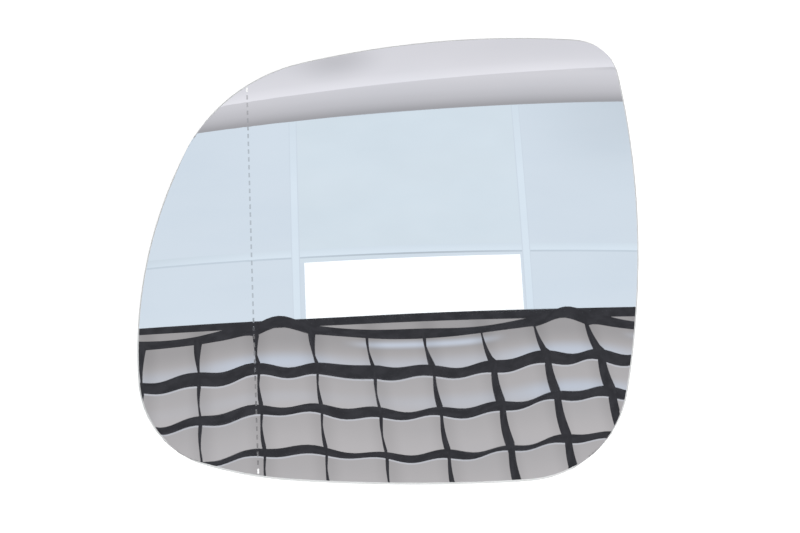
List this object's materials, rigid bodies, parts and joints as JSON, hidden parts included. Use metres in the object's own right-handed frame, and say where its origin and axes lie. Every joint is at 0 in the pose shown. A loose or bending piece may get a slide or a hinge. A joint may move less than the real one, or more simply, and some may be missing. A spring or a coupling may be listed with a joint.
{
  "type": "car door mirror glass",
  "caption": "Convex door mirror glass for a car, left hand, cut to a rounded outline, with a dashed line etched where its more curved outer zone begins.",
  "frame": {"origin": "middle of the outline's box, on the surface that the glass lies on", "axes": "+Z the way the glass reflects, +Y up on the car, +X towards the door"},
  "size_m": [0.184, 0.1666, 0.0062],
  "materials": {
    "mirror_glass": "polished mirror coating on bent glass, with a fine-ground pale edge and a frosted dashed line"
  },
  "bodies": {
    "root": {"mirror_glass": "mirror_glass"}
  },
  "joints": []
}
